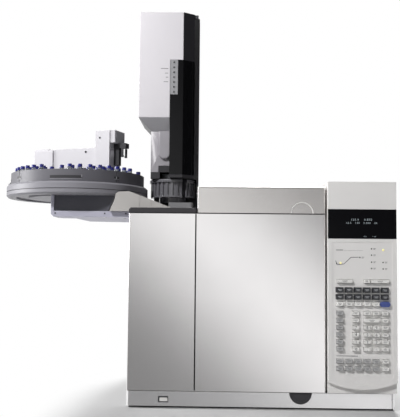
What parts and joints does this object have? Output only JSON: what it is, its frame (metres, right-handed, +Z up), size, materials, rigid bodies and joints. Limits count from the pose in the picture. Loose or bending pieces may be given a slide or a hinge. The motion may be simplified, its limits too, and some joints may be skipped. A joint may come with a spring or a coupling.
{
  "type": "gas chromatograph",
  "caption": "Bench gas chromatograph: oven with swing door, keypad and display module, lift-up detector cover, injector tower and a round vial tray with a turning gripper arm.",
  "frame": {"origin": "centre of the footprint of the whole instrument, tray and rear fittings included, on the bench surface under the feet", "axes": "+Z up, +Y towards the rear of the instrument, +X towards its right-hand side as its user faces it"},
  "size_m": [0.8996, 0.575, 0.919],
  "materials": {
    "cabinet_metal": "satin light grey",
    "foot_rubber": "matte",
    "charcoal_metal": "satin charcoal",
    "cabinet_plastic": "satin",
    "cover_plastic": "satin silver",
    "door_paint": "satin silver",
    "liner_steel": "brushed",
    "seal_fibre": "braided",
    "dark_plastic": "satin black",
    "insulation_wool": "fibrous",
    "heater_alloy": "oxidised",
    "fan_steel": "satin",
    "motor_metal": "cast",
    "duct_metal": "galvanised",
    "column_coat": "amber coating",
    "inlet_steel": "turned",
    "keypad_plastic": "satin light grey",
    "display_gloss": "gloss",
    "key_blue": "satin",
    "board_green": "printed board",
    "fitting_brass": "turned",
    "tower_charcoal": "satin charcoal",
    "tower_silver": "satin silver",
    "neck_plastic": "satin",
    "strip_grey": "gloss",
    "smoked_plastic": "smoked gloss",
    "rod_steel": "ground",
    "carriage_aluminium": "machined",
    "syringe_glass": "clear",
    "turret_plastic": "ribbed charcoal",
    "pedestal_metal": "satin grey",
    "bracket_paint": "satin cream",
    "plate_paint": "satin blue grey",
    "charcoal_plastic": "satin charcoal",
    "tray_plastic": "satin dark grey",
    "rack_plastic": "satin dark grey",
    "cap_navy": "navy cap over clear glass",
    "gantry_plastic": "satin off-white",
    "key_grey": "satin grey",
    "key_dark": "satin dark grey",
    "key_light": "satin white"
  },
  "bodies": {
    "cabinet": {"chassis": "cabinet_metal", "feet": "foot_rubber", "left_side_panel": "cabinet_metal", "right_side_panel": "cabinet_metal", "rear_panel": "cabinet_metal", "top_deck": "charcoal_metal", "top_cover": "cabinet_plastic", "oven_liner": "liner_steel", "oven_insulation": "insulation_wool", "fan_shroud": "liner_steel", "heater_coil": "heater_alloy", "fan_motor": "motor_metal", "exhaust_duct": "duct_metal", "column_cage": "fan_steel", "capillary_column": "column_coat", "front_inlet": "inlet_steel", "detector": "inlet_steel", "keypad_housing": "keypad_plastic", "display_window": "display_gloss", "electronics": "board_green", "gas_fittings": "fitting_brass", "mains_inlet": "dark_plastic", "tower_body": "tower_charcoal", "tower_face": "tower_silver", "tower_neck": "neck_plastic", "light_strip": "strip_grey", "tower_rods": "rod_steel", "inlet_pedestal": "pedestal_metal", "bracket_arm": "bracket_paint", "carrier_plate": "plate_paint", "tray_housing": "charcoal_plastic", "tray": "tray_plastic", "vial_racks": "rack_plastic", "vials": "cap_navy"},
    "oven_door": {"door_skin": "door_paint", "door_inner_pan": "liner_steel", "door_seal": "seal_fibre"},
    "door_release": {"door_release": "dark_plastic"},
    "power_switch": {"power_switch": "dark_plastic"},
    "detector_cover": {"detector_cover": "cover_plastic"},
    "oven_fan": {"oven_fan": "fan_steel"},
    "vent_flap": {"vent_flap": "duct_metal"},
    "start_key": {"start_key": "key_grey"},
    "stop_key": {"stop_key": "key_grey"},
    "prep_key": {"prep_key": "key_grey"},
    "info_key": {"info_key": "key_blue"},
    "dark_keys": {"dark_keys": "key_dark"},
    "light_keys": {"light_keys": "key_light"},
    "number_keys": {"number_keys": "key_grey"},
    "syringe_door": {"syringe_door": "smoked_plastic"},
    "syringe_carriage": {"syringe_carriage": "carriage_aluminium", "syringe_barrel": "syringe_glass"},
    "plunger": {"plunger": "rod_steel"},
    "turret": {"turret": "turret_plastic"},
    "gantry": {"gantry_arm": "gantry_plastic"},
    "gripper_head": {"gripper_head": "gantry_plastic", "gripper_rail": "dark_plastic"},
    "gripper_slide": {"gripper_slide": "dark_plastic"},
    "left_finger": {"left_finger": "dark_plastic"},
    "right_finger": {"right_finger": "dark_plastic"}
  },
  "joints": [
    {"name": "door_swing", "type": "hinge", "parent": "cabinet", "child": "oven_door", "pos_m": [-0.12725, -0.2385, 0.23], "axis": [0, 0, -1], "range_deg": [0, 100]},
    {"name": "door_release_press", "type": "slide", "parent": "cabinet", "child": "door_release", "axis": [0, 1, 0], "range_m": [0, 0.003], "stiffness_N_per_m": 400, "springref_m": -0.001},
    {"name": "power_switch_press", "type": "slide", "parent": "cabinet", "child": "power_switch", "axis": [0, 1, 0], "range_m": [0, 0.003], "stiffness_N_per_m": 400, "springref_m": -0.001},
    {"name": "detector_cover_lift", "type": "hinge", "parent": "cabinet", "child": "detector_cover", "pos_m": [0.24675, 0.0535, 0.476], "axis": [-1, 0, 0], "range_deg": [0, 80]},
    {"name": "fan_spin", "type": "hinge", "parent": "cabinet", "child": "oven_fan", "pos_m": [0.07475, -0.0225, 0.215], "axis": [0, 1, 0], "continuous": true},
    {"name": "vent_flap_turn", "type": "hinge", "parent": "cabinet", "child": "vent_flap", "pos_m": [0.17675, 0.2575, 0.3334], "axis": [1, 0, 0], "range_deg": [0, 75]},
    {"name": "start_key_press", "type": "slide", "parent": "cabinet", "child": "start_key", "axis": [0, 1, 0], "range_m": [0, 0.0015], "stiffness_N_per_m": 600, "springref_m": -0.0005},
    {"name": "stop_key_press", "type": "slide", "parent": "cabinet", "child": "stop_key", "axis": [0, 1, 0], "range_m": [0, 0.0015], "stiffness_N_per_m": 600, "springref_m": -0.0005},
    {"name": "prep_key_press", "type": "slide", "parent": "cabinet", "child": "prep_key", "axis": [0, 1, 0], "range_m": [0, 0.0015], "stiffness_N_per_m": 600, "springref_m": -0.0005},
    {"name": "info_key_press", "type": "slide", "parent": "cabinet", "child": "info_key", "axis": [0, 1, 0], "range_m": [0, 0.0015], "stiffness_N_per_m": 600, "springref_m": -0.0005},
    {"name": "dark_keys_press", "type": "slide", "parent": "cabinet", "child": "dark_keys", "axis": [0, 1, 0], "range_m": [0, 0.0015], "stiffness_N_per_m": 2500, "springref_m": -0.0005},
    {"name": "light_keys_press", "type": "slide", "parent": "cabinet", "child": "light_keys", "axis": [0, 1, 0], "range_m": [0, 0.0015], "stiffness_N_per_m": 2500, "springref_m": -0.0005},
    {"name": "number_keys_press", "type": "slide", "parent": "cabinet", "child": "number_keys", "axis": [0, 1, 0], "range_m": [0, 0.0015], "stiffness_N_per_m": 2500, "springref_m": -0.0005},
    {"name": "syringe_door_swing", "type": "hinge", "parent": "cabinet", "child": "syringe_door", "pos_m": [-0.00275, -0.119, 0.66325], "axis": [0, 0, 1], "range_deg": [0, 100]},
    {"name": "syringe_lower", "type": "slide", "parent": "cabinet", "child": "syringe_carriage", "axis": [0, 0, -1], "range_m": [0, 0.076]},
    {"name": "plunger_draw", "type": "slide", "parent": "syringe_carriage", "child": "plunger", "axis": [0, 0, 1], "range_m": [0, 0.034]},
    {"name": "turret_spin", "type": "hinge", "parent": "cabinet", "child": "turret", "pos_m": [-0.04975, -0.0705, 0.472], "axis": [0, 0, 1], "continuous": true},
    {"name": "gantry_turn", "type": "hinge", "parent": "cabinet", "child": "gantry", "pos_m": [-0.28025, -0.0945, 0.54], "axis": [0, 0, 1], "range_deg": [-147.38, 147.38]},
    {"name": "gripper_reach", "type": "slide", "parent": "gantry", "child": "gripper_head", "axis": [0.9455, -0.3256, 0], "range_m": [-0.023, 0.023]},
    {"name": "gripper_lower", "type": "slide", "parent": "gripper_head", "child": "gripper_slide", "axis": [0, 0, -1], "range_m": [0, 0.036]},
    {"name": "left_finger_close", "type": "slide", "parent": "gripper_slide", "child": "left_finger", "axis": [-0.3256, -0.9455, 0], "range_m": [0, 0.0014]},
    {"name": "right_finger_close", "type": "slide", "parent": "gripper_slide", "child": "right_finger", "axis": [0.3256, 0.9455, 0], "range_m": [0, 0.0014]}
  ],
  "couplings": [
    {"joint": "right_finger_close", "follows": "left_finger_close", "ratio": 1}
  ]
}
